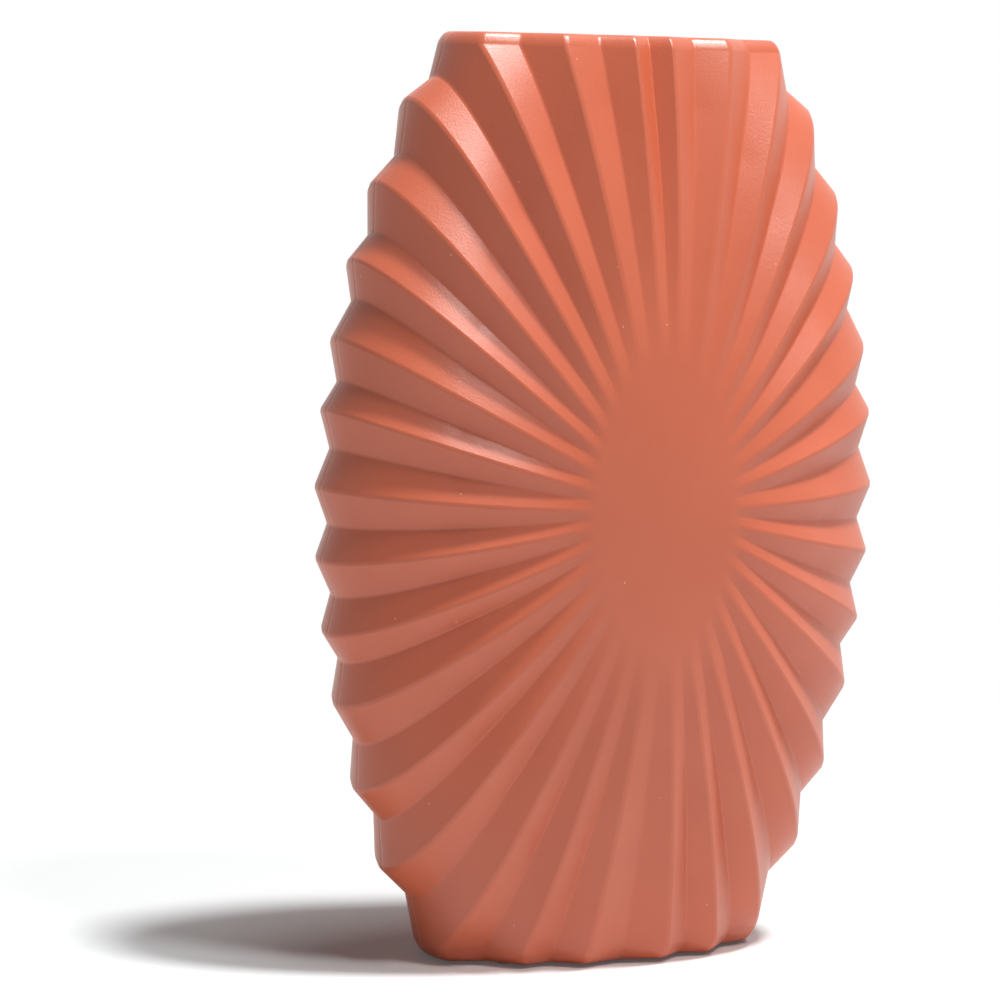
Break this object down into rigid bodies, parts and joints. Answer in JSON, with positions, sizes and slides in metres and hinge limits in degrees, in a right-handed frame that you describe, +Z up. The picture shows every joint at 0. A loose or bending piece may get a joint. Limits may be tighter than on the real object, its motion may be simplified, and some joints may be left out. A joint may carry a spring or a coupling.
{
  "type": "vase",
  "caption": "Tall flattened oval vase with pleats fanning out from a smooth oval on each face, open flat lip, two half shells on a closed foot with pads.",
  "frame": {"origin": "on the table under the middle of the foot", "axes": "+Z up through the open lip, +X to the right along the wide side, -Y out of the front face"},
  "size_m": [0.2158, 0.109, 0.33],
  "materials": {
    "shell": "satin, fine eggshell grain",
    "seal": "matt",
    "plate": "matt",
    "pad": "matt"
  },
  "bodies": {
    "root": {"front_shell": "shell", "rear_shell": "shell", "seam_seal_left": "seal", "seam_seal_right": "seal", "base_plate": "plate", "pad_front_left": "pad", "pad_front_right": "pad", "pad_rear_left": "pad", "pad_rear_right": "pad"}
  },
  "joints": []
}
